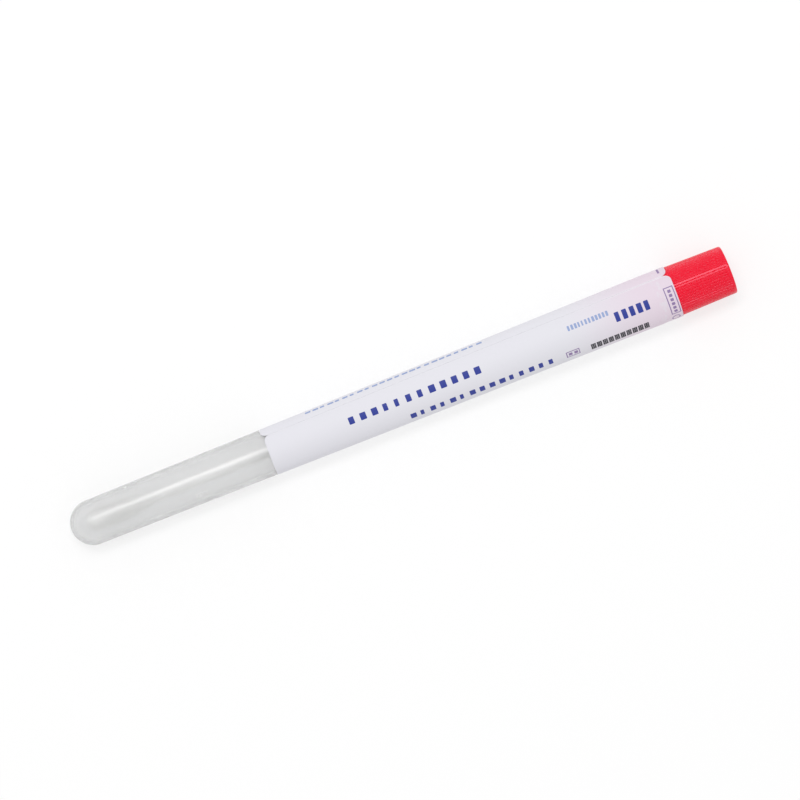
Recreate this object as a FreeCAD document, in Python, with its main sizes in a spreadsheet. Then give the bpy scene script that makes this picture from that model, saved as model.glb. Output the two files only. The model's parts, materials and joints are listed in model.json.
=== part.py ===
import FreeCAD
import Part
import Sketcher
import math
import os

# Specimen swab tube: a tapered moulded tube, the label wrapped round it, and a ribbed plug cap
# that carries the swab. Sizes are in millimetres. Each piece is modelled upright on the tube's
# own axis, with the foot's tip at height zero and the cap on top. Then all are laid on their
# side together: +X runs along the tube towards the cap, and the floor is Z = 0.

SIZES = [
    # tube
    ("tube_length", 150.0, "foot's tip to mouth rim"),
    ("mouth_diameter", 12.6, "outside, at the mouth"),
    ("tube_draft", 0.34, "degrees a side, inside and outside"),
    ("tube_wall", 1.0, "everywhere, foot included"),
    ("mouth_edge", 0.2, "chamfer on both edges of the mouth rim"),
    # label
    ("label_height", 104.0, "edge to edge along the tube"),
    ("label_lap", 4.3, "how far it stands past the mouth, round the cap"),
    ("label_thickness", 0.08, "one sheet"),
    ("label_corner", 1.6, "corner radius of the die-cut sheet"),
    ("seam_gap", 0.1, "between the two ends of the sheet"),
    ("seam_angle", 42.0, "degrees from the top line, towards +Y"),
    # cap, outside
    ("grip_height", 18.2, "seat on the mouth to the closed end"),
    ("grip_draft", 0.9, "degrees a side"),
    ("collar_clearance", 0.1, "label's collar to the cap's plain band, radial"),
    ("rib_tuck", 0.7, "how far the ribs run in under the label's collar"),
    ("rib_count", 54, "ribs round the grip"),
    ("rib_angle", 1.9, "degrees from the top line to a channel's middle, towards +Y"),
    ("rib_crest", 0.42, "width of a rib's top, at the ribs' lower end"),
    ("flute_root", 0.09, "width of the channel's bottom between two ribs"),
    ("flute_depth", 0.12, "depth of that channel"),
    ("rim_height", 0.55, "plain rim above the ribs"),
    ("rim_round", 0.35, "radius at the closed end"),
    # cap, inside
    ("plug_height", 9.0, "depth in the bore"),
    ("plug_relief", 0.3, "plug's plain wall to the bore, radial, at the plug's foot"),
    ("plug_wall", 0.9, "of the hollow plug"),
    ("plug_lead", 0.35, "lead-in chamfer"),
    ("bead_clearance", 0.04, "sealing bead to bore, radial"),
    ("bead_half_root", 0.55, "half a sealing bead's height where it leaves the plug"),
    ("bead_half_crest", 0.2, "half its height at the crest"),
    ("bead_one", 2.0, "first bead's depth below the mouth rim"),
    ("bead_two", 5.2, "second bead's depth below the mouth rim"),
    ("end_wall", 1.6, "closed end of the cap"),
    ("boss_wall", 1.25, "round the shaft's socket"),
    ("boss_drop", 8.0, "boss's foot below the mouth rim"),
    ("socket_rise", 6.0, "socket's floor above the mouth rim"),
    # swab
    ("shaft_diameter", 2.5, "plain rod"),
    ("shaft_chamfer", 0.3, "both ends of the rod"),
    ("bud_diameter", 5.0, "widest"),
    ("bud_height", 17.0, "tip to where it meets the rod"),
    ("bud_belly", 9.0, "tip to where it starts to narrow"),
    ("bud_lip", 0.2, "fibre on the rod where the bud ends"),
    ("bud_cover", 2.0, "fibre past the rod's end"),
    ("foot_gap", 3.0, "bud's tip to the tube's inner floor"),
]

doc = FreeCAD.newDocument("swab_tube")
sheet = doc.addObject("Spreadsheet::Sheet", "Sizes")
for row, (alias, value, note) in enumerate(SIZES, start=1):
    sheet.set(f"A{row}", alias)
    sheet.set(f"B{row}", str(value))
    sheet.set(f"C{row}", note)
    sheet.setAlias(f"B{row}", alias)
doc.recompute()


def value_of(expression):
    """The number that a spreadsheet expression gives."""
    return float(sheet.evalExpression(expression.replace("Sizes.", "")))


# Heights on the tube's axis, and radii at a height, as spreadsheet expressions.
MOUTH = "Sizes.tube_length"
CAP_END = "(Sizes.tube_length + Sizes.grip_height)"
LABEL_TOP = "(Sizes.tube_length + Sizes.label_lap)"
LABEL_FOOT = f"({LABEL_TOP} - Sizes.label_height)"
SHAFT_TOP = "(Sizes.tube_length + Sizes.socket_rise)"
BUD_TIP = "(Sizes.tube_wall + Sizes.foot_gap)"
SHAFT_FOOT = f"({BUD_TIP} + Sizes.bud_cover)"

MOUTH_RADIUS = "(Sizes.mouth_diameter / 2)"
MOUTH_BORE = f"({MOUTH_RADIUS} - Sizes.tube_wall / cos(Sizes.tube_draft))"
GRIP_RADIUS = f"({MOUTH_RADIUS} - Sizes.collar_clearance)"
SHAFT_RADIUS = "(Sizes.shaft_diameter / 2)"
BUD_RADIUS = "(Sizes.bud_diameter / 2)"


def tube_radius(height):
    return f"({MOUTH_RADIUS} - ({MOUTH} - {height}) * tan(Sizes.tube_draft))"


def bore_radius(height):
    return f"({MOUTH_BORE} - ({MOUTH} - {height}) * tan(Sizes.tube_draft))"


def grip_radius(height):
    return f"({GRIP_RADIUS} - ({height} - {MOUTH}) * tan(Sizes.grip_draft))"


# The foot is the ball that meets the tapered wall smoothly all round and rests at height zero.
COS = "cos(Sizes.tube_draft)"
SIN = "sin(Sizes.tube_draft)"
FOOT_BALL = f"(({MOUTH_RADIUS} * {COS} - {MOUTH} * {SIN}) / (1 - {SIN}))"
INNER_BALL = f"({FOOT_BALL} - Sizes.tube_wall)"


def new_body(name):
    body = doc.addObject("PartDesign::Body", name)
    body.Label = name
    return body


def new_sketch(body, name, role):
    """An empty sketch on one of the body's own origin planes."""
    plane = next(item for item in body.Origin.OriginFeatures if item.Role == role)
    sketch = body.newObject("Sketcher::SketchObject", name)
    sketch.AttachmentSupport = (plane, [""])
    sketch.MapMode = "FlatFace"
    return sketch


def pin(sketch, geometry, position, across, up):
    """Ties one point of a line or arc to its two distances from the sketch's origin."""
    for kind, axis, expression in (("DistanceX", -2, across), ("DistanceY", -1, up)):
        if expression == "0":
            sketch.addConstraint(Sketcher.Constraint("PointOnObject", geometry, position, axis))
            continue
        distance = value_of(expression)
        constraint = Sketcher.Constraint(kind, -1, 1, geometry, position, distance)
        sketch.setExpression(f"Constraints[{sketch.addConstraint(constraint)}]", expression)


def tie_radius(sketch, geometry, expression):
    constraint = Sketcher.Constraint("Radius", geometry, value_of(expression))
    sketch.setExpression(f"Constraints[{sketch.addConstraint(constraint)}]", expression)


def arc_between(start, stop, radius):
    """The short arc of that radius. A positive radius turns left on the way, a negative right."""
    chord = stop - start
    left = FreeCAD.Vector(-chord.y, chord.x, 0).normalize()
    lift = math.sqrt(radius**2 - (chord.Length / 2) ** 2)
    centre = (start + stop) / 2 + left * math.copysign(lift, radius)
    ends = (start, stop) if radius > 0 else (stop, start)
    angles = [math.atan2(spot.y - centre.y, spot.x - centre.x) for spot in ends]
    return Part.ArcOfCircle(Part.Circle(centre, FreeCAD.Vector(0, 0, 1), abs(radius)), *angles)


def outline(sketch, corners):
    """Draws a closed outline through corners, each (across, up) or (across, up, turn, radius).

    The side that starts at a corner with a turn is an arc, to the "left" or to the "right".
    """
    spots = [FreeCAD.Vector(value_of(corner[0]), value_of(corner[1]), 0) for corner in corners]
    starts = []
    stops = []
    for here, corner in enumerate(corners):
        start = spots[here]
        stop = spots[(here + 1) % len(spots)]
        forwards = len(corner) == 2 or corner[2] == "left"
        if len(corner) == 2:
            sketch.addGeometry(Part.LineSegment(start, stop))
        else:
            radius = value_of(corner[3])
            sketch.addGeometry(arc_between(start, stop, radius if forwards else -radius))
        starts.append(1 if forwards else 2)
        stops.append(2 if forwards else 1)
    for here, corner in enumerate(corners):
        before = (here - 1) % len(corners)
        joined = Sketcher.Constraint("Coincident", before, stops[before], here, starts[here])
        sketch.addConstraint(joined)
    for here, corner in enumerate(corners):
        pin(sketch, here, starts[here], corner[0], corner[1])
        if len(corner) > 2:
            tie_radius(sketch, here, corner[3])


def revolved(body, name, corners):
    """A solid of revolution about the tube's axis, from an outline in the XZ plane."""
    sketch = new_sketch(body, f"{name}_outline", "XZ_Plane")
    outline(sketch, corners)
    turn = body.newObject("PartDesign::Revolution", name)
    turn.Profile = sketch
    turn.ReferenceAxis = (sketch, ["V_Axis"])
    turn.Angle = 360
    doc.recompute()


def rims(shape, height):
    """Names of the round edges that lie level at a height."""
    near = 0.001
    return [
        f"Edge{number}"
        for number, edge in enumerate(shape.Edges, start=1)
        if abs(edge.BoundBox.ZMin - height) < near and abs(edge.BoundBox.ZMax - height) < near
    ]


def dressed(body, kind, name, heights, size):
    """Fillets or chamfers the round edges at some heights of the body's newest shape."""
    base = body.Tip
    edges = [edge for height in heights for edge in rims(base.Shape, value_of(height))]
    feature = body.newObject(f"PartDesign::{kind}", name)
    feature.Base = (base, edges)
    feature.setExpression("Radius" if kind == "Fillet" else "Size", size)
    doc.recompute()


def expect_less(body, volume):
    if not body.Tip.Shape.Volume < volume:
        raise RuntimeError(f"{body.Tip.Name} cut nothing out of {body.Label}")


def make_tube():
    """Even wall all over: tapered inside and outside, with a ball foot and a broken mouth edge."""
    body = new_body("tube")
    revolved(body, "wall", [
        ("0", "0", "left", FOOT_BALL),
        (f"{FOOT_BALL} * {COS}", f"{FOOT_BALL} - {FOOT_BALL} * {SIN}"),
        (MOUTH_RADIUS, MOUTH),
        (MOUTH_BORE, MOUTH),
        (f"{INNER_BALL} * {COS}", f"{FOOT_BALL} - {INNER_BALL} * {SIN}", "right", INNER_BALL),
        ("0", "Sizes.tube_wall"),
    ])
    dressed(body, "Chamfer", "mouth_edges", [MOUTH], "Sizes.mouth_edge")
    return body


def make_label():
    """A skin on the tapered wall, straight past the mouth, slit where the sheet's ends meet.

    Each corner of the sheet is round, so the slit opens into a notch at both of its ends.
    """
    body = new_body("label")
    revolved(body, "wrap", [
        (tube_radius(LABEL_FOOT), LABEL_FOOT),
        (f"{tube_radius(LABEL_FOOT)} + Sizes.label_thickness", LABEL_FOOT),
        (f"{MOUTH_RADIUS} + Sizes.label_thickness", MOUTH),
        (f"{MOUTH_RADIUS} + Sizes.label_thickness", LABEL_TOP),
        (MOUTH_RADIUS, LABEL_TOP),
        (MOUTH_RADIUS, MOUTH),
    ])
    slit = "Sizes.seam_gap / 2"
    notch = f"({slit} + Sizes.label_corner)"
    high = f"{LABEL_TOP} - Sizes.label_corner"
    low = f"{LABEL_FOOT} + Sizes.label_corner"
    above = f"{LABEL_TOP} + Sizes.label_corner"
    below = f"{LABEL_FOOT} - Sizes.label_corner"
    round_corner = ("left", "Sizes.label_corner")
    sketch = new_sketch(body, "seam_outline", "YZ_Plane")
    outline(sketch, [
        (f"-({slit})", low),
        (f"-({slit})", high, *round_corner),
        (f"-{notch}", LABEL_TOP),
        (f"-{notch}", above),
        (notch, above),
        (notch, LABEL_TOP, *round_corner),
        (slit, high),
        (slit, low, *round_corner),
        (notch, LABEL_FOOT),
        (notch, below),
        (f"-{notch}", below),
        (f"-{notch}", LABEL_FOOT, *round_corner),
    ])
    whole = body.Tip.Shape.Volume
    seam = body.newObject("PartDesign::Pocket", "seam")
    seam.Profile = sketch
    seam.Type = "ThroughAll"
    seam.Reversed = True
    doc.recompute()
    expect_less(body, whole)
    return body


def plug_corners():
    """Down the outside of the plug, from the seat on the mouth, past both sealing beads."""
    foot = f"({MOUTH} - Sizes.plug_height)"
    plug = f"({bore_radius(foot)} - Sizes.plug_relief)"
    corners = [(plug, MOUTH)]
    for depth in ("Sizes.bead_one", "Sizes.bead_two"):
        middle = f"({MOUTH} - {depth})"
        crest = f"({bore_radius(middle)} - Sizes.bead_clearance)"
        corners.append((plug, f"{middle} + Sizes.bead_half_root"))
        corners.append((crest, f"{middle} + Sizes.bead_half_crest"))
        corners.append((crest, f"{middle} - Sizes.bead_half_crest"))
        corners.append((plug, f"{middle} - Sizes.bead_half_root"))
    corners.append((plug, f"{foot} + Sizes.plug_lead"))
    corners.append((f"{plug} - Sizes.plug_lead", foot))
    corners.append((f"{plug} - Sizes.plug_wall", foot))
    return corners


def make_cap():
    """Grip, hollow plug and shaft socket in one moulding, with the flutes cut round the grip."""
    body = new_body("cap")
    plug = plug_corners()
    core = plug[-1][0]
    core_top = f"{CAP_END} - Sizes.end_wall"
    boss = f"({SHAFT_RADIUS} + Sizes.boss_wall)"
    boss_foot = f"{MOUTH} - Sizes.boss_drop"
    revolved(body, "moulding", [
        ("0", CAP_END),
        (grip_radius(CAP_END), CAP_END),
        (GRIP_RADIUS, MOUTH),
        *plug,
        (core, core_top),
        (boss, core_top),
        (boss, boss_foot),
        (SHAFT_RADIUS, boss_foot),
        (SHAFT_RADIUS, SHAFT_TOP),
        ("0", SHAFT_TOP),
    ])
    dressed(body, "Fillet", "rim_round", [CAP_END], "Sizes.rim_round")
    cut_flutes(body)
    return body


def cut_flutes(body):
    """Cuts one channel along the tapered grip and repeats it, which leaves the ribs standing."""
    low = f"({LABEL_TOP} - Sizes.rib_tuck)"
    high = f"({CAP_END} - Sizes.rim_height)"
    surface = grip_radius(low)
    half_root = "Sizes.flute_root / 2"
    half_mouth = f"(pi * {surface} / Sizes.rib_count - Sizes.rib_crest / 2)"
    root = f"({surface} - Sizes.flute_depth)"
    # the channel's sides go on at the same slope to as far outside the grip as they are deep
    outer = f"({surface} + Sizes.flute_depth)"
    half_outer = f"(2 * {half_mouth} - {half_root})"
    channel = new_sketch(body, "flute_outline", "XY_Plane")
    channel.setExpression("AttachmentOffset.Base.z", low)
    outline(channel, [
        (root, half_root),
        (root, f"-({half_root})"),
        (outer, f"-{half_outer}"),
        (outer, half_outer),
    ])
    run = new_sketch(body, "flute_run", "XZ_Plane")
    ends = ((root, low), (f"{grip_radius(high)} - Sizes.flute_depth", high))
    spots = [FreeCAD.Vector(value_of(across), value_of(up), 0) for across, up in ends]
    run.addGeometry(Part.LineSegment(*spots))
    for position, (across, up) in enumerate(ends, start=1):
        pin(run, 0, position, across, up)
    doc.recompute()
    smooth = body.Tip.Shape.Volume
    flute = body.newObject("PartDesign::SubtractivePipe", "flute")
    flute.Profile = channel
    flute.Spine = (run, ["Edge1"])
    doc.recompute()
    ring = body.newObject("PartDesign::PolarPattern", "flutes")
    ring.Originals = [flute]
    ring.Axis = (channel, ["N_Axis"])
    ring.Angle = 360
    ring.setExpression("Occurrences", "Sizes.rib_count")
    body.Tip = ring
    doc.recompute()
    expect_less(body, smooth)


def make_shaft():
    """Plain rod from the cap's socket down into the bud."""
    body = new_body("swab_shaft")
    sketch = new_sketch(body, "rod_outline", "XY_Plane")
    sketch.setExpression("AttachmentOffset.Base.z", SHAFT_FOOT)
    circle = Part.Circle(FreeCAD.Vector(), FreeCAD.Vector(0, 0, 1), value_of(SHAFT_RADIUS))
    sketch.addGeometry(circle)
    sketch.addConstraint(Sketcher.Constraint("Coincident", 0, 3, -1, 1))
    tie_radius(sketch, 0, SHAFT_RADIUS)
    rod = body.newObject("PartDesign::Pad", "rod")
    rod.Profile = sketch
    rod.setExpression("Length", f"{SHAFT_TOP} - {SHAFT_FOOT}")
    doc.recompute()
    dressed(body, "Chamfer", "rod_ends", [SHAFT_FOOT, SHAFT_TOP], "Sizes.shaft_chamfer")
    return body


def make_bud():
    """Fibre wound on the rod's end: round tip, straight belly, long taper back to the rod."""
    body = new_body("fibre_bud")
    top = f"{BUD_TIP} + Sizes.bud_height"
    revolved(body, "winding", [
        ("0", BUD_TIP, "left", BUD_RADIUS),
        (BUD_RADIUS, f"{BUD_TIP} + {BUD_RADIUS}"),
        (BUD_RADIUS, f"{BUD_TIP} + Sizes.bud_belly"),
        (f"{SHAFT_RADIUS} + Sizes.bud_lip", top),
        (SHAFT_RADIUS, top),
        (SHAFT_RADIUS, SHAFT_FOOT),
        ("0", SHAFT_FOOT),
    ])
    return body


def laid_down():
    """From upright to lying: the label's lowest line on the floor, and the length centred."""
    draft = value_of("Sizes.tube_draft")
    level = math.cos(math.radians(draft))
    skin = value_of(f"{tube_radius('0')} + Sizes.label_thickness")
    shift = FreeCAD.Vector(-value_of(CAP_END) / 2 * level, 0, skin * level)
    return FreeCAD.Placement(shift, FreeCAD.Rotation(FreeCAD.Vector(0, 1, 0), 90 - draft))


pieces = [make_tube(), make_label(), make_cap(), make_shaft(), make_bud()]
lying = laid_down()
turned = {
    "label": "Sizes.seam_angle",
    "cap": "Sizes.rib_angle",
    "swab_shaft": "Sizes.rib_angle",
    "fibre_bud": "Sizes.rib_angle",
}
for piece in pieces:
    spin = FreeCAD.Rotation()
    if piece.Label in turned:
        spin = FreeCAD.Rotation(FreeCAD.Vector(0, 0, 1), 180 - value_of(turned[piece.Label]))
    piece.Placement = lying.multiply(FreeCAD.Placement(FreeCAD.Vector(), spin))
doc.recompute()

for item in doc.Objects:
    if "Invalid" in item.State or "Error" in item.State:
        raise RuntimeError(f"{item.Name} didn't build: {item.State}")
for piece in pieces:
    if piece.Shape.isNull() or not piece.Shape.isValid() or len(piece.Shape.Solids) != 1:
        raise RuntimeError(f"{piece.Label} isn't one valid solid")

os.makedirs("parts", exist_ok=True)
for piece in pieces:
    piece.Shape.exportStep(f"parts/{piece.Label}.step")
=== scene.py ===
import json
import math
import random

import bmesh
import bpy
from bpy.props import FloatProperty, FloatVectorProperty, IntProperty, PointerProperty
from mathutils import Matrix, Vector, noise


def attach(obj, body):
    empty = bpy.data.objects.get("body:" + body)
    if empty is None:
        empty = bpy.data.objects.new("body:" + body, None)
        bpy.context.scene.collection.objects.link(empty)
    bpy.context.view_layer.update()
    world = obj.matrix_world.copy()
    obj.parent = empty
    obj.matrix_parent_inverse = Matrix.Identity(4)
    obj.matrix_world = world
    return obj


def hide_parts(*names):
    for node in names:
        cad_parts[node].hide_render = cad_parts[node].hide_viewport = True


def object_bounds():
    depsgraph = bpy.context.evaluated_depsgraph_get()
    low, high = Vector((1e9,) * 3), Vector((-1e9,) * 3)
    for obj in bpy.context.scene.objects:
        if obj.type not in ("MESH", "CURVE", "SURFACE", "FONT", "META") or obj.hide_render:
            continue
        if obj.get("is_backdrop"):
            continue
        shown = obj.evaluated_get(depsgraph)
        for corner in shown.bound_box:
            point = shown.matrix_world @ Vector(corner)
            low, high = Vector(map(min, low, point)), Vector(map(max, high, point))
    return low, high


bl_info = {
    "name": "Specimen swab tube",
    "version": (1, 0, 0),
    "blender": (4, 5, 0),
    "location": "3D View > Sidebar > Swab Tube",
    "description": "Builds a labelled swab tube, its ribbed cap and its swab",
    "category": "Add Mesh",
}

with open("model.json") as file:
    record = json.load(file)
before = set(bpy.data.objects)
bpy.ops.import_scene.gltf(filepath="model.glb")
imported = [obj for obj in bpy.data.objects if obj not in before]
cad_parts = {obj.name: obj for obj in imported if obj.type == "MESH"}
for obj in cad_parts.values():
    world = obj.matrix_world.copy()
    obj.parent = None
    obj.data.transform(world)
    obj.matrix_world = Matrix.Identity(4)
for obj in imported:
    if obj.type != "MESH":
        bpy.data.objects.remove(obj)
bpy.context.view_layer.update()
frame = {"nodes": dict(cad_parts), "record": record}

# The tube's own axis: a step along it is counted from the foot's tip, and a turn about it from
# the line that faces up, towards +Y.
MM = 0.001
MOUNTS = {mount["name"]: mount for mount in frame["record"]["mounts"]}
FOOT_TIP = Vector(MOUNTS["rack_end"]["pos_m"])
AXIS = Vector(MOUNTS["cap_top"]["axis"]).normalized()
SIDE = Vector((0, 1, 0))
UP = AXIS.cross(SIDE)


def spot(step, radius, turn):
    """The point at a step along the tube's axis, a radius from it and a turn about it."""
    return FOOT_TIP + AXIS * step + (UP * math.cos(turn) + SIDE * math.sin(turn)) * radius


def extent(node):
    """A node's first and last step along the axis, and its widest radius."""
    steps = []
    radii = []
    for vertex in frame["nodes"][node].data.vertices:
        offset = vertex.co - FOOT_TIP
        steps.append(offset.dot(AXIS))
        radii.append((offset - AXIS * steps[-1]).length)
    return min(steps), max(steps), max(radii)


TUBE = extent("tube")
LABEL = extent("label")
CAP = extent("cap")
SHAFT = extent("swab_shaft")
BUD = extent("fibre_bud")
MOUTH = TUBE[1]

# Mesh making: points nearer than this are one, and a radius below this is on the axis.
WELD = 0.001 * MM
ON_AXIS = 0.0001 * MM


def length(name, description, default):
    return FloatProperty(
        name=name, description=description, default=default, min=0.0, unit="LENGTH",
        subtype="DISTANCE", precision=5,
    )


def turn_of(name, description, degrees):
    return FloatProperty(
        name=name, description=description, default=math.radians(degrees), unit="ROTATION",
        subtype="ANGLE",
    )


def colour(name, description, default):
    return FloatVectorProperty(
        name=name, description=description, default=default, size=3, min=0.0, max=1.0,
        subtype="COLOR",
    )


def share(name, description, default):
    return FloatProperty(name=name, description=description, default=default, min=0.0, max=1.0)


class TubeSettings(bpy.types.PropertyGroup):
    draft: turn_of("Draft", "Taper of each wall, to one side", 0.34)
    wall: length("Wall", "Thickness all over", 1.0 * MM)
    lip: length("Lip", "Rounding on both edges of the mouth", 0.2 * MM)
    tint: colour("Tint", "Milky plastic", (0.99, 0.993, 0.996))
    roughness: share("Roughness", "Of the moulded surface", 0.26)


class LabelSettings(bpy.types.PropertyGroup):
    sheet: length("Sheet", "Thickness of the sheet", 0.08 * MM)
    corner: length("Corner", "Radius of the sheet's corners", 1.6 * MM)
    seam: turn_of("Seam", "Where the two ends meet, from the top line towards +Y", 42.0)
    gap: length("Gap", "Between the two ends", 0.06 * MM)
    skew: length("Skew", "How far one end sits off the other along the tube", 0.45 * MM)
    sink: length("Sink", "How far the sheet dips where it leaves the tube for the cap", 0.07 * MM)
    sheet_colour: colour("Sheet", "Coated sheet", (0.75, 0.745, 0.795))
    # Colour of the thin lighter line that the sheet is drawn with along the seam.
    seam_line_colour: colour("Cut", "Sheet along its cut ends", (0.89, 0.89, 0.93))
    # Painted glow: the pink painted into the sheet towards the cap, standing in for the red cap's
    # light showing through the sheet.
    painted_glow_colour: colour("Blush", "Sheet where the red cap shows through", (0.755, 0.648, 0.735))


class PrintSettings(bpy.types.PropertyGroup):
    film: length("Film", "Height of the ink over the sheet", 0.012 * MM)
    blue: colour("Blue", "Bold marks", (0.022, 0.040, 0.28))
    pale_blue: colour("Pale blue", "Small marks", (0.28, 0.36, 0.60))
    grey: colour("Grey", "Outlines", (0.27, 0.19, 0.37))
    black: colour("Black", "Marks added by the jet", (0.018, 0.016, 0.026))


class CapSettings(bpy.types.PropertyGroup):
    ribs: IntProperty(name="Ribs", description="Round the grip", default=54, min=8, max=120)
    rib_angle: turn_of("Rib angle", "From the top line to a channel's middle, towards +Y", 1.9)
    draft: turn_of("Draft", "Taper of the grip, to one side", 0.9)
    flute_depth: length("Flute depth", "Channel between two ribs", 0.12 * MM)
    flute_root: share("Flute root", "Channel's bottom, as a share of the pitch", 0.12)
    crest: share("Crest", "Rib's top, as a share of the pitch", 0.6)
    rib_foot: length("Rib foot", "From the seat to where the ribs start", 3.6 * MM)
    rim: length("Rim", "Plain rim above the ribs", 0.55 * MM)
    rim_round: length("Rim round", "Radius of the closed end's edge", 0.35 * MM)
    red: colour("Red", "Moulded plastic", (0.86, 0.0, 0.022))
    roughness: share("Roughness", "Of the moulded surface", 0.23)


class SwabSettings(bpy.types.PropertyGroup):
    chamfer: length("Chamfer", "On both ends of the rod", 0.3 * MM)
    belly: length("Belly", "From the tip to where the bud narrows", 9.0 * MM)
    lip: length("Lip", "Fibre on the rod where the bud ends", 0.2 * MM)
    fibres: IntProperty(name="Fibres", description="Loose ones on the bud", default=420, min=0)
    seed: IntProperty(name="Seed", description="Lay of the loose fibres", default=7)
    white: colour("White", "Drawn plastic rod", (0.93, 0.93, 0.91))
    fibre: colour("Fibre", "Wound fibre", (0.94, 0.94, 0.92))


class StageSettings(bpy.types.PropertyGroup):
    heading: turn_of("Heading", "The cap's end points this far up from level", 21.7)
    distance: length("Distance", "Camera above the tube", 0.92)
    lens: FloatProperty(name="Lens", description="In millimetres", default=174.0, min=10.0)
    key_lean: turn_of("Key lean", "Key light from straight up, towards +Y", 18.5)
    key_power: FloatProperty(name="Key power", description="In watts", default=3.2, unit="POWER")
    sky: FloatProperty(name="Sky", description="Strength of the soft white all round", default=0.76)


class Value:
    """A number that changes over a surface: one socket of a finish, with its arithmetic."""

    def __init__(self, finish, socket):
        self.finish = finish
        self.socket = socket

    def _math(self, operation, first, second):
        return self.finish.node("ShaderNodeMath", {"operation": operation}, {0: first, 1: second})

    def __add__(self, other):
        return self._math("ADD", self, other)

    def __radd__(self, other):
        return self._math("ADD", other, self)

    def __sub__(self, other):
        return self._math("SUBTRACT", self, other)

    def __rsub__(self, other):
        return self._math("SUBTRACT", other, self)

    def __mul__(self, other):
        return self._math("MULTIPLY", self, other)

    def __rmul__(self, other):
        return self._math("MULTIPLY", other, self)

    def __truediv__(self, other):
        return self._math("DIVIDE", self, other)

    def __rtruediv__(self, other):
        return self._math("DIVIDE", other, self)


class Nodes:
    """A node tree, and the one way to add a node to it."""

    def __init__(self, tree):
        self.tree = tree

    def node(self, kind, settings, inputs, output=0):
        """Adds a node. Its settings come first, then its sockets' values and links."""
        made = self.tree.nodes.new(kind)
        for name, setting in settings.items():
            setattr(made, name, setting)
        for socket, given in inputs.items():
            if isinstance(given, Value):
                self.tree.links.new(given.socket, made.inputs[socket])
            else:
                made.inputs[socket].default_value = given
        return Value(self, made.outputs[output])

    def seen(self):
        """1 where the camera, a reflection or a see-through surface looks, 0 for light."""
        camera, glossy, through = (
            self.node("ShaderNodeLightPath", {}, {}, name)
            for name in ("Is Camera Ray", "Is Glossy Ray", "Is Transmission Ray")
        )
        return self.node("ShaderNodeClamp", {}, {"Value": camera + glossy + through})


class Finish(Nodes):
    """A material: its Principled shader and the nodes that feed it."""

    def __init__(self, name, base, roughness, **constants):
        self.material = bpy.data.materials.new(name)
        self.material.use_nodes = True
        super().__init__(self.material.node_tree)
        self.shader = self.tree.nodes["Principled BSDF"]
        self.shader.inputs["Base Color"].default_value = (*base, 1.0)
        self.shader.inputs["Roughness"].default_value = roughness
        for socket, constant in constants.items():
            self.shader.inputs[socket.replace("_", " ")].default_value = constant

    def place(self):
        """The point on the piece itself, in metres."""
        return self.node("ShaderNodeTexCoord", {}, {}, "Object")

    def reach(self, direction):
        """How far the point lies from the foot's tip in a direction, in millimetres."""
        offset = self.node(
            "ShaderNodeVectorMath", {"operation": "SUBTRACT"}, {0: self.place(), 1: FOOT_TIP}
        )
        run = self.node(
            "ShaderNodeVectorMath", {"operation": "DOT_PRODUCT"}, {0: offset, 1: direction}, "Value"
        )
        return run / MM

    def near_seam(self, seam, width):
        """1 along the label's seam, and 0 from a width to either side, in millimetres."""
        across = self.reach(SIDE * math.cos(seam) - UP * math.sin(seam))
        out = self.reach(UP * math.cos(seam) + SIDE * math.sin(seam))
        off = self.node("ShaderNodeMath", {"operation": "ABSOLUTE"}, {0: across})
        return self.ramp(out, 0.0, 1.0) * (1.0 - self.ramp(off, width / 4, width))

    def cloud(self, scale, detail=2.0, stretch=(1.0, 1.0, 1.0)):
        """Soft noise from 0 to 1, in lumps of about 1 / scale millimetres."""
        place = self.node(
            "ShaderNodeVectorMath",
            {"operation": "MULTIPLY"},
            {0: self.place(), 1: [scale / MM * axis for axis in stretch]},
        )
        return self.node(
            "ShaderNodeTexNoise", {}, {"Vector": place, "Scale": 1.0, "Detail": detail}
        )

    def ramp(self, value, low, high):
        """0 below the low value, 1 above the high one, and smooth between them."""
        return self.node(
            "ShaderNodeMapRange",
            {"interpolation_type": "SMOOTHSTEP"},
            {"Value": value, "From Min": low, "From Max": high},
        )

    def mix(self, factor, first, second):
        """One colour into another."""
        ends = [shade if isinstance(shade, Value) else (*shade, 1.0) for shade in (first, second)]
        return self.node(
            "ShaderNodeMix", {"data_type": "RGBA"}, {0: factor, 6: ends[0], 7: ends[1]}, 2
        )

    def paint(self, base, roughness, relief=None, depth=0.0):
        """Feeds the shader: a colour, a roughness, and a relief of a depth in metres."""
        self.tree.links.new(base.socket, self.shader.inputs["Base Color"])
        self.tree.links.new(roughness.socket, self.shader.inputs["Roughness"])
        if relief is not None:
            bump = self.node(
                "ShaderNodeBump", {}, {"Height": relief, "Distance": depth, "Strength": 1.0}
            )
            self.tree.links.new(bump.socket, self.shader.inputs["Normal"])
        return self.material


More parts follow.
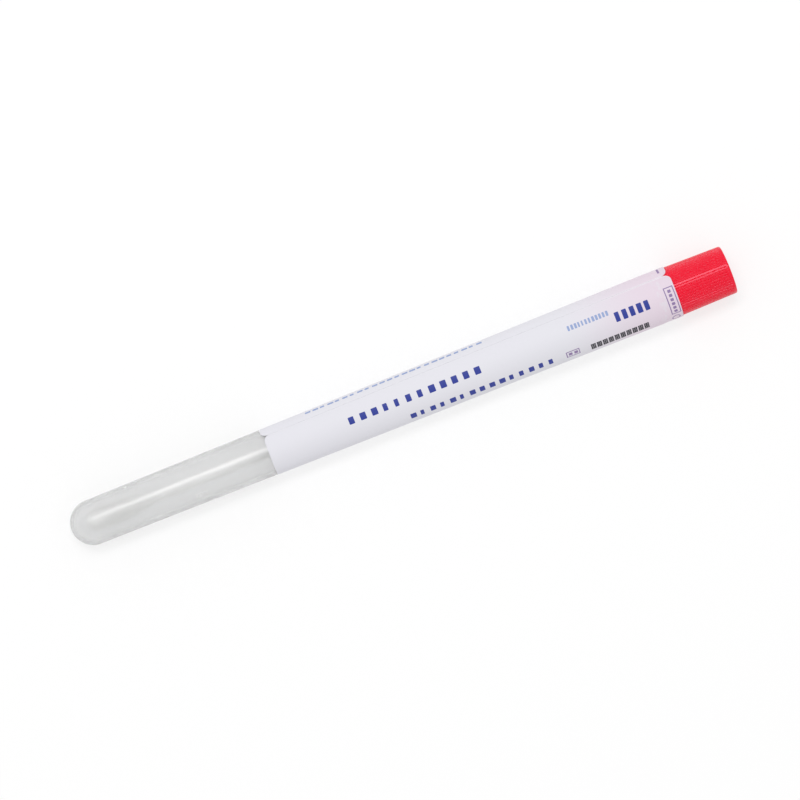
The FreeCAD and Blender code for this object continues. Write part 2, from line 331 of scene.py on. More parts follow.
class Skin:
    """The vertices and faces of one piece, gathered row by row."""

    def __init__(self):
        self.vertices = []
        self.faces = []

    def row(self, points):
        first = len(self.vertices)
        self.vertices.extend(points)
        return list(range(first, len(self.vertices)))

    def bridge(self, low, high, closed=True):
        """Joins two rows of equal count, or a row and a single point."""
        if len(low) != len(high) and 1 not in (len(low), len(high)):
            raise ValueError(f"rows of {len(low)} and {len(high)} points don't match")
        count = max(len(low), len(high))
        for here in range(count if closed else count - 1):
            there = (here + 1) % count
            corners = []
            for row, order in ((low, (here, there)), (high, (there, here))):
                corners.extend(row[0:1] if len(row) == 1 else (row[item] for item in order))
            self.faces.append(corners)

    def turned(self, profile, columns, relief=None):
        """Turns a profile of (step, radius) about the axis. A relief changes the radius."""
        rows = []
        for step, radius in profile:
            if radius < ON_AXIS:
                rows.append(self.row([spot(step, 0.0, 0.0)]))
                continue
            ring = []
            for turn in columns:
                change = relief(step, turn) if relief else 0.0
                ring.append(spot(step, radius + change, turn))
            rows.append(self.row(ring))
        for low, high in zip(rows, rows[1:]):
            self.bridge(low, high)
        return rows

    def piece(self, name, material, body, slot, film=0.0, sharp=35.0):
        """Makes the object and rides it on a body.

        Open shapes are given a film's thickness, so that every piece is closed.
        """
        mesh = bpy.data.meshes.new(name)
        mesh.from_pydata([tuple(vertex) for vertex in self.vertices], [], self.faces)
        shell = bmesh.new()
        shell.from_mesh(mesh)
        bmesh.ops.remove_doubles(shell, verts=shell.verts, dist=WELD)
        bmesh.ops.recalc_face_normals(shell, faces=shell.faces)
        if film:
            bmesh.ops.solidify(shell, geom=shell.faces[:], thickness=film)
            bmesh.ops.recalc_face_normals(shell, faces=shell.faces)
        shell.to_mesh(mesh)
        shell.free()
        mesh.shade_smooth()
        mesh.set_sharp_from_angle(angle=math.radians(sharp))
        mesh.materials.append(material)
        made = bpy.data.objects.new(name, mesh)
        bpy.context.scene.collection.objects.link(made)
        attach(made, body)
        return made


def even_turns(count):
    return [2 * math.pi * item / count for item in range(count)]


def arc(centre, radius, start, stop, count):
    """Points (step, radius) on an arc about a centre, from one angle to another, in degrees.

    The angle is 0 towards the cap and 90 away from the axis.
    """
    points = []
    for item in range(count + 1):
        angle = math.radians(start + (stop - start) * item / count)
        points.append((centre[0] + radius * math.cos(angle), centre[1] + radius * math.sin(angle)))
    return points


def mouth_radius(scene):
    return LABEL[2] - scene.label_looks.sheet


def tube_radius(scene, step):
    return mouth_radius(scene) - (MOUTH - step) * math.tan(scene.tube_looks.draft)


class SWABTUBE_OT_tube(bpy.types.Operator):
    """Moulds the tapered tube with its ball foot"""

    bl_idname = "swabtube.tube"
    bl_label = "Tube"

    def execute(self, context):
        looks = context.scene.tube_looks
        draft = math.degrees(looks.draft)
        cosine = math.cos(looks.draft)
        sine = math.sin(looks.draft)
        mouth = mouth_radius(context.scene)
        ball = (mouth * cosine - MOUTH * sine) / (1 - sine)
        inner = ball - looks.wall
        bore = mouth - looks.wall / cosine
        lip = looks.lip
        wall_steps = [step * MM for step in range(10, 150, 5)]
        profile = arc((ball, 0.0), ball, 180.0, 90.0 + draft, count=28)
        profile += [(step, tube_radius(context.scene, step)) for step in wall_steps]
        profile += arc((MOUTH - lip, mouth - lip), lip, 90.0, 0.0, count=5)
        profile += arc((MOUTH - lip, bore + lip), lip, 0.0, -90.0, count=5)
        profile += [
            (step, bore - (MOUTH - step) * math.tan(looks.draft))
            for step in reversed(wall_steps)
        ]
        profile += arc((ball, 0.0), inner, 90.0 + draft, 180.0, count=24)
        skin = Skin()
        skin.turned(profile, even_turns(count=160))
        piece = skin.piece("tube_moulding", self.plastic(looks), "labelled_tube", "clear_plastic")
        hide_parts("tube")
        return {"FINISHED"}

    def plastic(self, looks):
        finish = Finish(
            "milky_plastic", looks.tint, looks.roughness, IOR=1.49, Transmission_Weight=0.83,
            Specular_IOR_Level=0.5,
        )
        flow = finish.cloud(0.35, 3.0, (0.25, 1.0, 1.0))
        milk = [shade * 0.96 for shade in looks.tint]
        return finish.paint(
            base=finish.mix(flow, milk, looks.tint),
            roughness=looks.roughness - 0.03 + 0.06 * flow,
        )


# How the sheet lies. In millimetres: its dip starts this far before the mouth, is deepest and
# spreads so far on from there, and the sheet sinks slowly over a run by a share of the full sink.
DIP_START = 1.0
DIP_MIDDLE = 1.5
DIP_SPREAD = 0.8
SINK_RUN = 3.0
SINK_SHARE = 0.35
# Puckers of the dip, and how far the sheet stands slack, with the size of both round and along.
PUCKER_LEVEL = 0.65
PUCKER_SIZE = 3.1
PUCKER_ALONG = 0.35
SLACK = 0.008 * MM
SLACK_ROUND = 1.4
SLACK_ALONG = 0.06


def sheet_width(looks):
    return 2 * math.pi * LABEL[2] - looks.gap


def sheet_edges(looks, around):
    """First and last step of the sheet at a distance round from its seam."""
    full = sheet_width(looks)
    inset = looks.corner - min(around, full - around, looks.corner)
    cut = looks.corner - math.sqrt(max(looks.corner**2 - inset**2, 0.0))
    shift = looks.skew * (1 - around / full)
    return LABEL[0] + looks.skew + cut - shift, LABEL[1] - cut - shift


def sheet_radius(scene, step, turn):
    """The sheet's outer surface: the tube's taper, then the dip past its mouth."""
    looks = scene.label_looks
    radius = tube_radius(scene, min(step, MOUTH)) + looks.sheet
    past = (step - MOUTH + DIP_START * MM) / MM
    if past > 0:
        around = Vector((math.cos(turn), math.sin(turn), step / MM * PUCKER_ALONG))
        pucker = PUCKER_LEVEL + (1 - PUCKER_LEVEL) * noise.noise(around * PUCKER_SIZE)
        radius -= looks.sink * pucker * math.exp(-(((past - DIP_MIDDLE) / DIP_SPREAD) ** 2))
        radius -= looks.sink * SINK_SHARE * min(past / SINK_RUN, 1.0)
    slack = noise.noise(Vector((
        math.cos(turn) * SLACK_ROUND, math.sin(turn) * SLACK_ROUND, step / MM * SLACK_ALONG,
    )))
    return radius - SLACK * (1 + slack)


class SWABTUBE_OT_label(bpy.types.Operator):
    """Wraps the sheet round the tube and its cap, end to end at the seam"""

    bl_idname = "swabtube.label"
    bl_label = "Label"

    def execute(self, context):
        looks = context.scene.label_looks
        full = sheet_width(looks)
        quarter = 10
        columns = 150
        corner = [
            looks.corner * (1 - math.cos(math.radians(90 * item / quarter)))
            for item in range(quarter + 1)
        ]
        middle = [
            looks.corner + (full - 2 * looks.corner) * item / columns
            for item in range(1, columns)
        ]
        across = corner + middle + [full - place for place in reversed(corner)]
        # Rows from end to end, closer together near the cap, where the sheet dips.
        wide_rows = 90
        fine_rows = 40
        fine_from = 0.94
        fine_share = 0.06
        shares = [item / wide_rows for item in range(math.ceil(wide_rows * fine_from))]
        shares += [
            fine_from + fine_share * item / fine_rows for item in range(1, fine_rows + 1)
        ]
        skin = Skin()
        sheets = []
        for inset in (0.0, looks.sheet):
            rows = []
            for share_up in shares:
                points = []
                for around in across:
                    low, high = sheet_edges(looks, around)
                    step = low + (high - low) * share_up
                    turn = looks.seam + (around + looks.gap / 2) / LABEL[2]
                    radius = sheet_radius(context.scene, step, turn) - inset
                    points.append(spot(step, radius, turn))
                rows.append(skin.row(points))
            for low_row, high_row in zip(rows, rows[1:]):
                skin.bridge(low_row, high_row, closed=False)
            sheets.append(rows)
        outer, inner = sheets
        skin.bridge(outer[0], inner[0], closed=False)
        skin.bridge(outer[-1], inner[-1], closed=False)
        skin.bridge([row[0] for row in outer], [row[0] for row in inner], closed=False)
        skin.bridge([row[-1] for row in outer], [row[-1] for row in inner], closed=False)
        piece = skin.piece("label_wrap", self.sheet(looks), "labelled_tube", "label_sheet")
        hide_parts("label")
        return {"FINISHED"}

    def sheet(self, looks):
        finish = Finish("coated_sheet", looks.sheet_colour, 0.6, Specular_IOR_Level=0.2)
        step = finish.reach(AXIS)
        # Painted glow: the sheet is painted pinker from 124 mm on towards the cap, standing in for
        # the red cap's light showing through it; the pink stays when the cap is pulled.
        painted_glow = finish.ramp(step, low=124.0, high=152.0)
        # The sheet is drawn lighter in a thin line along the seam, more so towards the cap.
        seam_line = finish.near_seam(looks.seam, width=0.34)
        # Painted crease light: where the sheet bridges the gap from the tube's mouth to the cap,
        # creases lose some of the painted glow and show as lighter streaks, standing in for the
        # creases' shading.
        bridged = finish.ramp(step, low=148.6, high=150.4)
        bridged = bridged * (1.0 - finish.ramp(step, low=151.0, high=152.4))
        painted_crease_light = finish.ramp(finish.cloud(0.9, 3.0, (1.5, 0.7, 0.7)), low=0.47, high=0.62)
        fibre = finish.cloud(1.2, 4.0)
        dull = [shade * 0.985 for shade in looks.sheet_colour]
        plain = finish.mix(fibre, dull, looks.sheet_colour)
        # Mixes in the painted glow, then the painted crease light.
        sheet_with_painted_glow = finish.mix(painted_glow, plain, looks.painted_glow_colour)
        sheet_with_crease_light = finish.mix(bridged * painted_crease_light * 0.45, sheet_with_painted_glow, looks.sheet_colour)
        wrinkle = finish.cloud(0.5, 2.0, (0.5, 1.0, 1.0))
        return finish.paint(
            base=finish.mix(seam_line * (0.2 + 0.4 * painted_glow), sheet_with_crease_light, looks.seam_line_colour),
            roughness=0.54 + 0.12 * fibre,
            relief=wrinkle + fibre * 0.1,
            depth=0.012 * MM,
        )


class Ink(Skin):
    """Flat shapes laid on the sheet's outer surface, each at (step, turn) on the tube."""

    # Longest stretch round the tube that is left straight, and the corners of a block.
    FOLLOW = 0.3 * MM
    CORNER = 0.16 * MM

    def __init__(self, scene):
        super().__init__()
        self.scene = scene

    def on_sheet(self, step, turn, across):
        """The point a distance across from a line along the tube, just over the sheet."""
        turned = turn + across / LABEL[2]
        radius = sheet_radius(self.scene, step, turned) + self.scene.print_looks.film
        return spot(step, radius, turned)

    def bar(self, start, stop, turn, foot, head, corner):
        """A solid bar with round corners, from one step to another and from foot to head."""
        corner = min(corner, (stop - start) / 2, (head - foot) / 2)
        quarter = 4
        levels = []
        for item in range(quarter + 1):
            angle = math.radians(90 * item / quarter)
            levels.append((corner * (1 - math.cos(angle)), corner * (1 - math.sin(angle))))
        body = head - foot - 2 * corner
        inner = max(1, round(body / self.FOLLOW))
        heights = [(foot + rise, inset) for rise, inset in levels]
        heights += [(foot + corner + body * item / inner, 0.0) for item in range(1, inner)]
        heights += [(head - rise, inset) for rise, inset in reversed(levels)]
        rows = []
        for across, inset in heights:
            ends = (start + inset, stop - inset)
            rows.append(self.row([self.on_sheet(step, turn, across) for step in ends]))
        for low, high in zip(rows, rows[1:]):
            self.bridge(low, high, closed=False)

    def loop(self, step, turn, across, radius, stroke, count=28):
        """A ring of a stroke's width."""
        rows = []
        for size in (radius, radius - stroke):
            rows.append(self.row([
                self.on_sheet(step + size * math.cos(angle), turn, across + size * math.sin(angle))
                for angle in even_turns(count)
            ]))
        self.bridge(rows[1], rows[0])

    def box(self, start, stop, turn, foot, head, stroke):
        """A stroke round a rectangle, in short steps so that it follows the tube."""
        levels = 24
        rows = []
        for inset in (0.0, stroke):
            low = foot + inset
            rise = [low + (head - inset - low) * item / levels for item in range(levels + 1)]
            outline = [(start + inset, across) for across in rise]
            outline += [(stop - inset, across) for across in reversed(rise)]
            rows.append(self.row([self.on_sheet(step, turn, across) for step, across in outline]))
        self.bridge(*rows)

    def blocks(self, start, stop, turn, height, count, low, high):
        """A row of plain blocks in even places, each a share of its place wide."""
        widths = random.Random(count)
        pitch = (stop - start) / count
        for place in range(count):
            left = start + pitch * place
            wide = pitch * widths.uniform(low, high)
            self.bar(left, left + wide, turn, -height / 2, height / 2, self.CORNER)

    def dotted(self, start, stop, turn, height, count, across=3, up=5):
        """A row of blocks that a jet lays dot by dot."""
        pitch = (stop - start) / count
        half_dot = 0.2 * MM
        margin = 0.15
        wide = 0.56
        for place in range(count):
            for column in range(across):
                for level in range(up):
                    step = start + pitch * (place + margin + wide * column / (across - 1))
                    rise = height * ((level + 0.5) / up - 0.5)
                    self.bar(
                        step - half_dot, step + half_dot, turn, rise - half_dot, rise + half_dot,
                        half_dot / 2,
                    )

    def laid(self, name, material):
        film = self.scene.print_looks.film
        return self.piece(name, material, "labelled_tube", "label_sheet", film=film)


class SWABTUBE_OT_print(bpy.types.Operator):
    """Lays plain bars, boxes and dots of ink on the label where its print goes"""

    bl_idname = "swabtube.print"
    bl_label = "Print"

    def execute(self, context):
        looks = context.scene.print_looks
        pressed = 0.22
        jetted = 0.28
        printed = (
            (self.blue_marks, "print_blue", "blue_ink", looks.blue, pressed),
            (self.pale_marks, "print_pale", "pale_ink", looks.pale_blue, pressed),
            (self.grey_marks, "print_grey", "grey_ink", looks.grey, pressed),
            (self.black_marks, "print_black", "jet_ink", looks.black, jetted),
        )
        for marks, piece, ink, shade, thin in printed:
            marks(context.scene).laid(piece, self.ink(ink, shade, thin))
        return {"FINISHED"}

    def blue_marks(self, scene):
        ink = Ink(scene)
        ink.blocks(138.6 * MM, 147.9 * MM, math.radians(-6.6), 2.4 * MM, 5, 0.4, 0.7)
        ink.blocks(85.1 * MM, 122.7 * MM, math.radians(-51.0), 1.8 * MM, 15, 0.35, 0.6)
        ink.blocks(71.0 * MM, 105.9 * MM, math.radians(-2.6), 1.9 * MM, 12, 0.35, 0.6)
        return ink

    def pale_marks(self, scene):
        ink = Ink(scene)
        ink.blocks(127.1 * MM, 137.7 * MM, math.radians(9.0), 1.3 * MM, 12, 0.45, 0.75)
        ink.blocks(62.0 * MM, 107.7 * MM, math.radians(66.0), 0.9 * MM, 24, 0.5, 0.8)
        return ink

    def grey_marks(self, scene):
        ink = Ink(scene)
        turn = math.radians(-20.0)
        stroke = 0.24 * MM
        ink.box(151.5 * MM, 153.9 * MM, turn, -3.7 * MM, 3.7 * MM, stroke)
        for level in range(6):
            low = (-3.15 + 1.08 * level) * MM
            ink.bar(152.3 * MM, 153.1 * MM, turn, low, low + 0.72 * MM, 0.12 * MM)
        ink.loop(152.4 * MM, math.radians(-69.0), 0.0, 1.05 * MM, stroke)
        ink.bar(151.9 * MM, 152.4 * MM, math.radians(67.0), -1.3 * MM, 1.3 * MM, 0.2 * MM)
        turn = math.radians(-51.0)
        ink.box(124.7 * MM, 128.1 * MM, turn, -1.0 * MM, 1.0 * MM, stroke)
        ink.bar(125.3 * MM, 126.2 * MM, turn, -0.45 * MM, 0.45 * MM, 0.1 * MM)
        ink.bar(126.7 * MM, 127.6 * MM, turn, -0.45 * MM, 0.45 * MM, 0.1 * MM)
        return ink

    def black_marks(self, scene):
        ink = Ink(scene)
        ink.dotted(130.9 * MM, 145.9 * MM, math.radians(-56.0), 2.2 * MM, 10)
        return ink

    def ink(self, name, shade, thin):
        """An ink that lets a little of the sheet show where its coverage is below thin."""
        finish = Finish(name, shade, 0.5, Specular_IOR_Level=0.35)
        coverage = finish.cloud(2.5, 3.0)
        sheet_tone = 0.8
        faded = [channel + (sheet_tone - channel) * 0.16 for channel in shade]
        return finish.paint(
            base=finish.mix(finish.ramp(coverage, thin, thin + 0.12), faded, shade),
            roughness=0.42 + 0.16 * coverage,
        )


class SWABTUBE_OT_cap(bpy.types.Operator):
    """Moulds the ribbed cap with its hollow plug and the swab's socket"""

    bl_idname = "swabtube.cap"
    bl_label = "Cap"

    # Columns from one channel's middle to the next, as shares of the pitch, close on the flanks.
    PITCH_PLACES = (
        0.0, 0.06, 0.1, 0.15, 0.2, 0.25, 0.3, 0.35, 0.4, 0.46, 0.54, 0.6, 0.65, 0.7, 0.75, 0.8,
        0.85, 0.9, 0.94,
    )
    # Length over which a channel runs out at either end.
    FLUTE_EASE = 0.35 * MM
    # The plug: its clearance in the bore, its wall, its two beads' places below the mouth, and
    # a bead's clearance and half its length.
    PLUG_GAP = 0.3 * MM
    PLUG_WALL = 0.9 * MM
    BEADS = (2.0 * MM, 5.2 * MM)
    BEAD_GAP = 0.04 * MM
    BEAD_HALF = 0.55 * MM
    LEAD_IN = 0.35 * MM
    # The boss round the shaft, and the thickness of the closed end.
    BOSS_WALL = 1.25 * MM
    BOSS_LENGTH = 8.0 * MM
    END_WALL = 1.6 * MM
    # Small roundings and the gap between two close rows at the ends of the flutes.
    EDGE = 0.1 * MM
    SEAT_EDGE = 0.12 * MM
    ROW_GAP = 0.07 * MM

    def execute(self, context):
        looks = context.scene.cap_looks
        skin = Skin()
        columns = [
            looks.rib_angle + 2 * math.pi * (rib + place) / looks.ribs
            for rib in range(looks.ribs) for place in self.PITCH_PLACES
        ]
        skin.turned(
            self.profile(context.scene), columns, lambda step, turn: self.flute(looks, step, turn)
        )
        piece = skin.piece(
            "cap_moulding", self.plastic(looks), "capped_swab", "red_plastic", sharp=50.0
        )
        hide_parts("cap")
        return {"FINISHED"}

    def grip_radius(self, looks, step):
        return CAP[2] - (step - MOUTH) * math.tan(looks.draft)

    def flute(self, looks, step, turn):
        """How far the surface is sunk between two ribs."""
        low = MOUTH + looks.rib_foot
        high = CAP[1] - looks.rim
        inside = min((step - low) / self.FLUTE_EASE, (high - step) / self.FLUTE_EASE, 1.0)
        if inside <= 0:
            return 0.0
        pitch = ((turn - looks.rib_angle) * looks.ribs / (2 * math.pi)) % 1.0
        off = min(pitch, 1.0 - pitch)
        half_root = looks.flute_root / 2
        half_mouth = 0.5 - looks.crest / 2
        rise = min(max((half_mouth - off) / (half_mouth - half_root), 0.0), 1.0)
        return -looks.flute_depth * inside * rise * rise * (3 - 2 * rise)

    def profile(self, scene):
        """From the closed end's middle, down the grip and the plug, and up inside to the socket."""
        looks = scene.cap_looks
        wall = scene.tube_looks.wall
        draft = scene.tube_looks.draft
        end = CAP[1]
        plug_foot = CAP[0]
        mouth_bore = mouth_radius(scene) - wall / math.cos(draft)

        def bore(step):
            return mouth_bore - (MOUTH - step) * math.tan(draft)

        plug = bore(plug_foot) - self.PLUG_GAP
        core = plug - self.PLUG_WALL
        shaft = SHAFT[2]
        boss = shaft + self.BOSS_WALL
        rim = looks.rim_round
        outside = self.grip_radius(looks, end)
        profile = [(end, 0.0), (end, 0.4 * outside), (end, 0.8 * outside)]
        profile += arc((end - rim, outside - rim), rim, 0.0, 90.0, count=7)

        low = MOUTH + looks.rib_foot
        high = end - looks.rim
        close_rows = 6
        grip_rows = 8
        steps = [high - self.ROW_GAP * item for item in range(close_rows)]
        steps += [high - (high - low) * item / grip_rows for item in range(1, grip_rows)]
        steps += [low + self.ROW_GAP * item for item in reversed(range(close_rows))]
        steps += [low - 1.8 * MM, MOUTH + self.EDGE]
        profile += [(step, self.grip_radius(looks, step)) for step in steps]

        profile += [(MOUTH, CAP[2] - self.EDGE), (MOUTH, plug + self.SEAT_EDGE)]
        profile += [(MOUTH - self.SEAT_EDGE, plug)]
        bead_rows = 10
        for depth in self.BEADS:
            middle = MOUTH - depth
            crest = bore(middle) - self.BEAD_GAP
            for item in range(bead_rows + 1):
                off = 1 - 2 * item / bead_rows
                bulge = math.cos(off * math.pi / 2) ** 0.8 if abs(off) < 1 else 0.0
                profile.append((middle + off * self.BEAD_HALF, plug + (crest - plug) * bulge))
        profile += [(plug_foot + self.LEAD_IN, plug), (plug_foot + 0.08 * MM, plug - 0.2 * MM)]
        profile += [(plug_foot, plug - self.LEAD_IN), (plug_foot, core + self.EDGE)]
        profile += [(plug_foot + self.EDGE, core)]

        ceiling = end - self.END_WALL
        profile += [(ceiling - 0.3 * MM, core), (ceiling, core - 0.3 * MM)]
        profile += [(ceiling, boss + 0.25 * MM), (ceiling - 0.25 * MM, boss)]
        boss_foot = MOUTH - self.BOSS_LENGTH
        profile += [(boss_foot + 0.15 * MM, boss), (boss_foot, boss - 0.15 * MM)]
        profile += [(boss_foot, shaft + self.EDGE), (boss_foot + self.EDGE, shaft)]
        profile += [(SHAFT[1], shaft), (SHAFT[1], 0.0)]
        return profile

    def plastic(self, looks):
        finish = Finish(
            "red_moulding", looks.red, looks.roughness, IOR=1.5, Specular_IOR_Level=0.4,
            Specular_Tint=(0.85, 0.8, 1.0, 1.0),
        )
        flow = finish.cloud(0.6, 3.0)
        deep = [looks.red[0] * 0.93, looks.red[1] * 0.8, looks.red[2] * 0.85]
        return finish.paint(
            base=finish.mix(flow, deep, looks.red),
            roughness=looks.roughness - 0.03 + 0.06 * flow,
        )


class SWABTUBE_OT_shaft(bpy.types.Operator):
    """Draws the swab's plain rod"""

    bl_idname = "swabtube.shaft"
    bl_label = "Swab shaft"

    def execute(self, context):
        looks = context.scene.swab_looks
        start, stop, radius = SHAFT
        cut = looks.chamfer
        rows = 30
        profile = [(start, 0.0), (start, radius - cut), (start + cut, radius)]
        profile += [(start + (stop - start) * item / rows, radius) for item in range(1, rows)]
        profile += [(stop - cut, radius), (stop, radius - cut), (stop, 0.0)]
        skin = Skin()
        skin.turned(profile, even_turns(count=48))
        piece = skin.piece("swab_rod", self.plastic(looks), "capped_swab", "white_plastic")
        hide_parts("swab_shaft")
        return {"FINISHED"}

    def plastic(self, looks):
        finish = Finish("drawn_rod", looks.white, 0.35, Specular_IOR_Level=0.5)
        streak = finish.cloud(1.5, 3.0, (0.03, 1.0, 1.0))
        dull = [shade * 0.95 for shade in looks.white]
        return finish.paint(
            base=finish.mix(streak, dull, looks.white),
            roughness=0.28 + 0.14 * streak,
            relief=streak,
            depth=0.02 * MM,
        )


class SWABTUBE_OT_bud(bpy.types.Operator):
    """Winds the fibre bud on the rod's end, with loose fibres over it"""

    bl_idname = "swabtube.bud"
    bl_label = "Fibre bud"

    # How deep the winding lies under the outline, in millimetres, with its lumps and threads,
    # and how far from the tip and from the other end it reaches that depth.
    SUNK = 0.10
    LUMPS = 0.07
    THREADS = 0.05
    TIP_EASE = 1.2 * MM
    END_EASE = 0.8 * MM

    def execute(self, context):
        looks = context.scene.swab_looks
        start, stop, _ = BUD
        tip_rows = 24
        tip_share = 0.16
        rows = 110
        rounds = [
            start + (stop - start) * (1 - math.cos(math.pi * item / 2 / tip_rows)) * tip_share
            for item in range(tip_rows + 1)
        ]
        rounds += [rounds[-1] + (stop - rounds[-1]) * item / rows for item in range(1, rows + 1)]
        profile = [(step, self.radius(looks, step)) for step in rounds]
        inside = SHAFT[2] - 0.02 * MM
        profile += [(stop, inside), (SHAFT[0], inside), (SHAFT[0], 0.0)]
        skin = Skin()
        skin.turned(profile, even_turns(count=144), self.winding)
        wound = self.fibre("wound_fibre", looks)
        piece = skin.piece("fibre_winding", wound, "capped_swab", "spun_fibre", sharp=80.0)
        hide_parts("fibre_bud")
        loose = self.fibre("loose_fibre", looks)
        self.loose(looks).piece("fibre_strands", loose, "capped_swab", "spun_fibre", sharp=80.0)
        return {"FINISHED"}

    def radius(self, looks, step):
        """The bud's outline: ball tip, belly and taper."""
        start, stop, widest = BUD
        run = step - start
        if run < widest:
            return math.sqrt(max(widest**2 - (widest - run) ** 2, 0.0))
        if run < looks.belly:
            return widest
        tail = (run - looks.belly) / (stop - start - looks.belly)
        slim = SHAFT[2] + looks.lip
        return widest + (slim - widest) * (tail**1.25)

    def winding(self, step, turn):
        """Soft lumps and the ridges of the winding."""
        flat = min(1.0, (step - BUD[0]) / self.TIP_EASE, (BUD[1] - step) / self.END_EASE)
        place = Vector((math.cos(turn) * 2.2, math.sin(turn) * 2.2, step / MM * 0.9))
        lump = noise.noise(place * 0.8)
        thread = noise.noise(Vector((place.x * 0.8, place.y * 0.8, step / MM * 3.4 + turn * 1.6)))
        depth = self.SUNK + self.LUMPS * lump + self.THREADS * thread
        return -max(flat, 0.0) * MM * depth

    def loose(self, looks):
        """The stray fibres, each with its own place, pitch, length and bow."""
        lay = random.Random(looks.seed)
        skin = Skin()
        for _ in range(looks.fibres):
            step = BUD[0] + (BUD[1] - BUD[0]) * lay.uniform(0.05, 0.97)
            turn = lay.uniform(0.0, 2 * math.pi)
            pitch = lay.gauss(0.25, 0.5)
            size = lay.uniform(0.9, 2.6) * MM
            lift = lay.uniform(0.0, 0.07) * MM
            bow = lay.uniform(-0.5, 0.5)
            self.strand(skin, looks, step, turn, pitch, size, lift, bow)
        return skin

    def strand(self, skin, looks, step, turn, pitch, size, lift, bow):
        """One fine fibre that follows the bud's surface."""
        thick = 0.016 * MM
        pieces = 6
        rows = []
        for item in range(pieces + 1):
            part = item / pieces - 0.5
            heading = pitch + bow * part
            here = step + size * part * math.sin(heading)
            here = min(max(here, BUD[0] + 0.15 * MM), BUD[1] - 0.05 * MM)
            radius = self.radius(looks, here) - 0.06 * MM + lift * (1 - (2 * part) ** 2)
            angle = turn + size * part * math.cos(heading) / max(radius, 0.6 * MM)
            middle = spot(here, radius, angle)
            out = (middle - spot(here, 0.0, 0.0)).normalized()
            slim = thick * (1.0 - 0.7 * (2 * abs(part)) ** 3)
            rows.append(skin.row([
                middle + out * slim, middle - out * slim * 0.5 + AXIS * slim,
                middle - out * slim * 0.5 - AXIS * slim,
            ]))
        for low, high in zip(rows, rows[1:]):
            skin.bridge(low, high)
        skin.faces.append(list(rows[0]))
        skin.faces.append(list(reversed(rows[-1])))

    def fibre(self, name, looks):
        finish = Finish(name, looks.fibre, 0.85, Sheen_Weight=0.25, Specular_IOR_Level=0.25)
        tuft = finish.cloud(2.2, 5.0, (1.6, 0.7, 0.7))
        shade = [channel * 0.9 for channel in looks.fibre]
        return finish.paint(
            base=finish.mix(tuft, shade, looks.fibre),
            roughness=0.78 + 0.14 * tuft,
            relief=finish.cloud(5.0, 4.0, (1.8, 0.5, 0.5)),
            depth=0.05 * MM,
        )


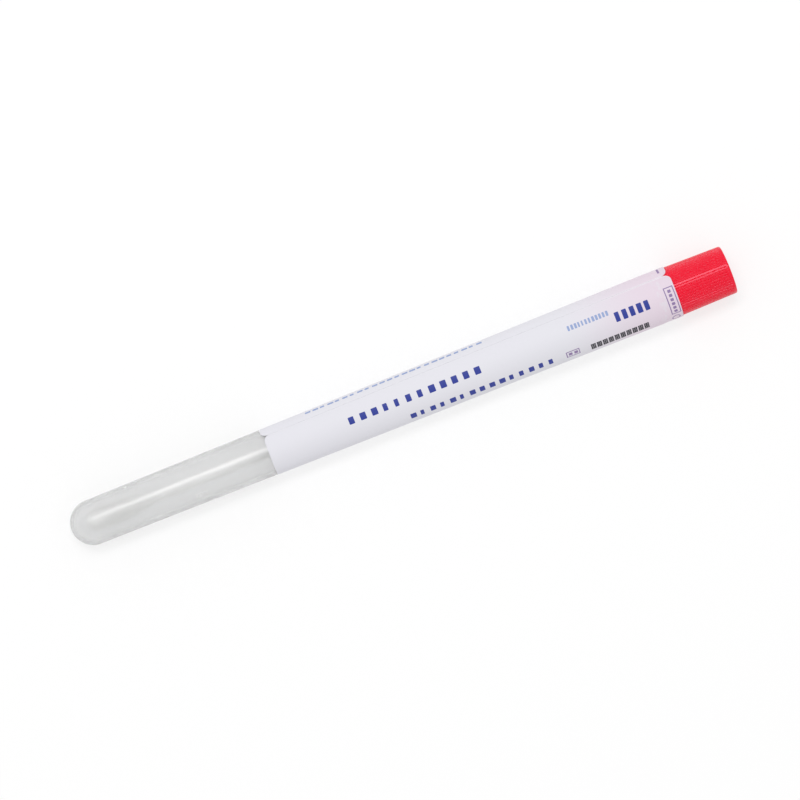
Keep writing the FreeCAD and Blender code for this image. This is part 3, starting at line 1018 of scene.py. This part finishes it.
class SWABTUBE_OT_stage(bpy.types.Operator):
    """Sets the pale floor, the soft light and the camera"""

    bl_idname = "swabtube.stage"
    bl_label = "Stage"

    # Share of plain white in the floor where it is seen, and the key lamp in metres.
    FLOOR_GLOW = 0.7
    LAMP_SIZE = (0.44, 0.23)
    LAMP_HEIGHT = 1.0

    def execute(self, context):
        looks = context.scene.stage_looks
        self.floor()
        self.sky(context.scene, looks)
        self.key_light(context.scene, looks)
        self.camera(context.scene, looks)
        context.scene.view_settings.view_transform = "Standard"
        return {"FINISHED"}

    def floor(self):
        half = 2.5
        corners = [(-half, -half, 0.0), (half, -half, 0.0), (half, half, 0.0), (-half, half, 0.0)]
        mesh = bpy.data.meshes.new("floor")
        mesh.from_pydata(corners, [], [(0, 1, 2, 3)])
        floor = bpy.data.objects.new("floor", mesh)
        bpy.context.scene.collection.objects.link(floor)
        floor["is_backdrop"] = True
        finish = Finish("pale_floor", (0.96, 0.96, 0.96), 0.9, Specular_IOR_Level=0.0)
        mesh.materials.append(finish.material)
        glow = finish.node("ShaderNodeEmission", {}, {"Color": (1, 1, 1, 1), "Strength": 1.0})
        lit = Value(finish, finish.shader.outputs[0])
        backdrop = finish.seen() * self.FLOOR_GLOW
        white = finish.node("ShaderNodeMixShader", {}, {0: backdrop, 1: lit, 2: glow})
        finish.tree.links.new(white.socket, finish.tree.nodes["Material Output"].inputs["Surface"])

    def sky(self, scene, looks):
        scene.world = bpy.data.worlds.new("soft_white")
        scene.world.use_nodes = True
        tree = scene.world.node_tree
        strength = looks.sky + Nodes(tree).seen() * (1.0 - looks.sky)
        tree.nodes["Background"].inputs["Color"].default_value = (1, 1, 1, 1)
        tree.links.new(strength.socket, tree.nodes["Background"].inputs["Strength"])

    def key_light(self, scene, looks):
        lamp = bpy.data.lights.new("key", "AREA")
        lamp.shape = "RECTANGLE"
        lamp.size, lamp.size_y = self.LAMP_SIZE
        lamp.energy = looks.key_power
        key = bpy.data.objects.new("key", lamp)
        lean = Matrix.Rotation(-looks.key_lean, 4, "X")
        key.matrix_world = lean @ Matrix.Translation((0, 0, self.LAMP_HEIGHT))
        scene.collection.objects.link(key)

    def camera(self, scene, looks):
        lens = bpy.data.cameras.new("camera")
        lens.lens = looks.lens
        lens.clip_end = 20.0
        camera = bpy.data.objects.new("camera", lens)
        low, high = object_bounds()
        middle = (low + high) / 2
        camera.location = middle + Vector((0, 0, looks.distance))
        camera.rotation_euler = (0, 0, -looks.heading)
        scene.collection.objects.link(camera)
        scene.camera = camera


class SWABTUBE_PT_panel(bpy.types.Panel):
    """Lists the pieces, the stage and their settings"""

    bl_idname = "SWABTUBE_PT_panel"
    bl_label = "Swab Tube"
    bl_space_type = "VIEW_3D"
    bl_region_type = "UI"
    bl_category = "Swab Tube"

    def draw(self, context):
        for maker in OPERATORS:
            self.layout.operator(maker.bl_idname)
        for name, kind in SETTINGS.items():
            box = self.layout.box()
            for setting in kind.__annotations__:
                box.prop(getattr(context.scene, name), setting)


OPERATORS = (
    SWABTUBE_OT_tube,
    SWABTUBE_OT_label,
    SWABTUBE_OT_print,
    SWABTUBE_OT_cap,
    SWABTUBE_OT_shaft,
    SWABTUBE_OT_bud,
    SWABTUBE_OT_stage,
)
SETTINGS = {
    "tube_looks": TubeSettings,
    "label_looks": LabelSettings,
    "print_looks": PrintSettings,
    "cap_looks": CapSettings,
    "swab_looks": SwabSettings,
    "stage_looks": StageSettings,
}
KINDS = (*SETTINGS.values(), *OPERATORS, SWABTUBE_PT_panel)


def register():
    for kind in KINDS:
        bpy.utils.register_class(kind)
    for name, kind in SETTINGS.items():
        setattr(bpy.types.Scene, name, PointerProperty(type=kind))


def unregister():
    for name in SETTINGS:
        delattr(bpy.types.Scene, name)
    for kind in reversed(KINDS):
        bpy.utils.unregister_class(kind)


def main():
    register()
    bpy.ops.swabtube.tube()
    bpy.ops.swabtube.label()
    bpy.ops.swabtube.print()
    bpy.ops.swabtube.cap()
    bpy.ops.swabtube.shaft()
    bpy.ops.swabtube.bud()
    bpy.ops.swabtube.stage()


if __name__ == "__main__":
    main()
